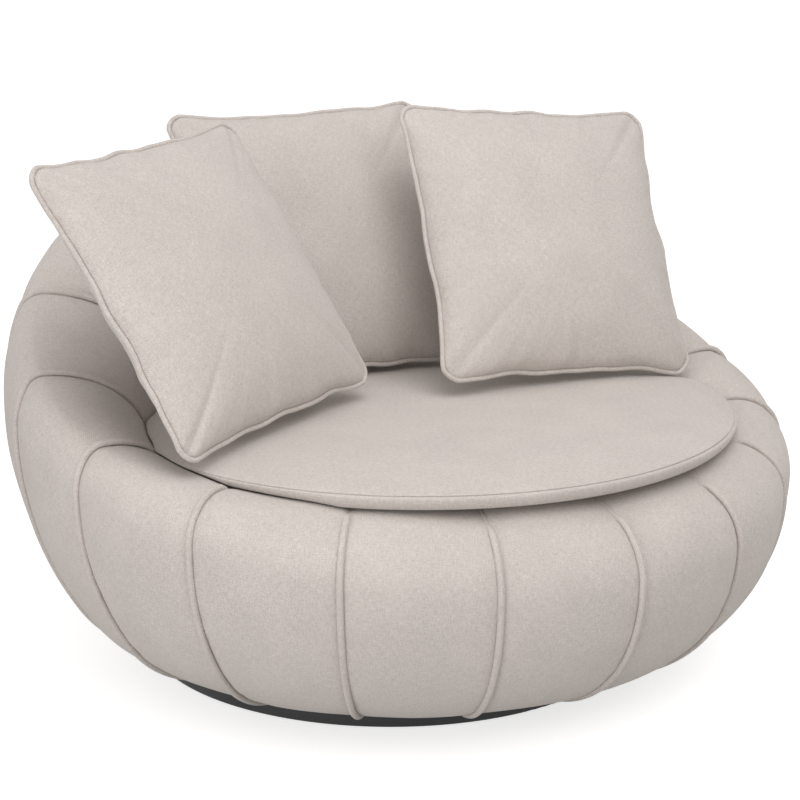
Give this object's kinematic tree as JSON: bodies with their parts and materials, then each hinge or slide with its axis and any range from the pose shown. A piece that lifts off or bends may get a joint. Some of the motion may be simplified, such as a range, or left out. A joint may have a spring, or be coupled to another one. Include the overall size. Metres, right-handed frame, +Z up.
{
  "type": "swivel armchair",
  "caption": "Round upholstered swivel armchair with a rolled, channelled body, a round seat cushion and loose piped pillows on a low turning plinth.",
  "frame": {"origin": "on the swivel axis, at the floor, under the middle of the base glides", "axes": "+Z up along the swivel axis, -Y towards the front of the seat, +X to the right of someone facing the seat's front"},
  "size_m": [1.1586, 1.1692, 0.8012],
  "materials": {
    "upholstery": "woven heathered linen-look cloth",
    "filling": "fibre-filled inner pillow",
    "foam": "cut upholstery foam",
    "plywood": "raw plywood",
    "black_cloth": "black webbing and backing cloth",
    "black_plinth": "satin black paint",
    "glide_plastic": "black nylon",
    "steel": "zinc plated"
  },
  "bodies": {
    "base": {"base_plinth": "black_plinth", "base_glides": "glide_plastic", "lower_bearing_plate": "steel", "lower_plate_screws": "steel"},
    "ball_cage": {"ball_cage": "glide_plastic", "bearing_balls": "steel"},
    "chair_body": {"upper_bearing_plate": "steel", "upper_plate_bolts": "steel", "frame_bottom_board": "plywood", "frame_ribs": "plywood", "frame_rim_rails": "plywood", "seat_deck_ring": "plywood", "webbing_lengthwise": "black_cloth", "webbing_crosswise": "black_cloth", "deck_cloth": "black_cloth", "dust_cover": "black_cloth", "foam_block_1": "foam", "foam_block_2": "foam", "foam_block_3": "foam", "foam_block_4": "foam", "foam_block_5": "foam", "foam_block_6": "foam", "foam_block_7": "foam", "foam_block_8": "foam", "foam_block_9": "foam", "cover_panel_01": "upholstery", "cover_panel_02": "upholstery", "cover_panel_03": "upholstery", "cover_panel_04": "upholstery", "cover_panel_05": "upholstery", "cover_panel_06": "upholstery", "cover_panel_07": "upholstery", "cover_panel_08": "upholstery", "cover_panel_09": "upholstery", "cover_panel_10": "upholstery", "cover_panel_11": "upholstery", "cover_panel_12": "upholstery", "cover_panel_13": "upholstery", "cover_panel_14": "upholstery", "cover_panel_15": "upholstery", "cover_panel_16": "upholstery", "cover_panel_17": "upholstery", "cover_panel_18": "upholstery", "welt_piping": "upholstery"},
    "seat_cushion": {"seat_cushion_core": "foam", "seat_cushion_top": "upholstery", "seat_cushion_band": "upholstery", "seat_cushion_underside": "upholstery"},
    "pillow_left": {"pillow_left_insert": "filling", "pillow_left_front": "upholstery", "pillow_left_back": "upholstery", "pillow_left_piping": "upholstery"},
    "pillow_middle": {"pillow_middle_insert": "filling", "pillow_middle_front": "upholstery", "pillow_middle_back": "upholstery", "pillow_middle_piping": "upholstery"},
    "pillow_right": {"pillow_right_insert": "filling", "pillow_right_front": "upholstery", "pillow_right_back": "upholstery", "pillow_right_piping": "upholstery"}
  },
  "joints": [
    {"name": "swivel", "type": "hinge", "parent": "base", "child": "chair_body", "pos_m": [0, 0, 0], "axis": [0, 0, 1], "continuous": true},
    {"name": "ball_cage_turn", "type": "hinge", "parent": "base", "child": "ball_cage", "pos_m": [0, 0, 0], "axis": [0, 0, 1], "continuous": true},
    {"name": "seat_cushion_lift", "type": "slide", "parent": "chair_body", "child": "seat_cushion", "axis": [0, 0, 1], "range_m": [0, 0.25]},
    {"name": "pillow_left_lift", "type": "slide", "parent": "seat_cushion", "child": "pillow_left", "axis": [0, 0, 1], "range_m": [0, 0.45]},
    {"name": "pillow_middle_lift", "type": "slide", "parent": "seat_cushion", "child": "pillow_middle", "axis": [0, 0.4848, 0.8746], "range_m": [0, 0.45]},
    {"name": "pillow_right_lift", "type": "slide", "parent": "seat_cushion", "child": "pillow_right", "axis": [0, 0, 1], "range_m": [0, 0.45]}
  ],
  "couplings": [
    {"joint": "ball_cage_turn", "follows": "swivel", "ratio": 0.5}
  ]
}
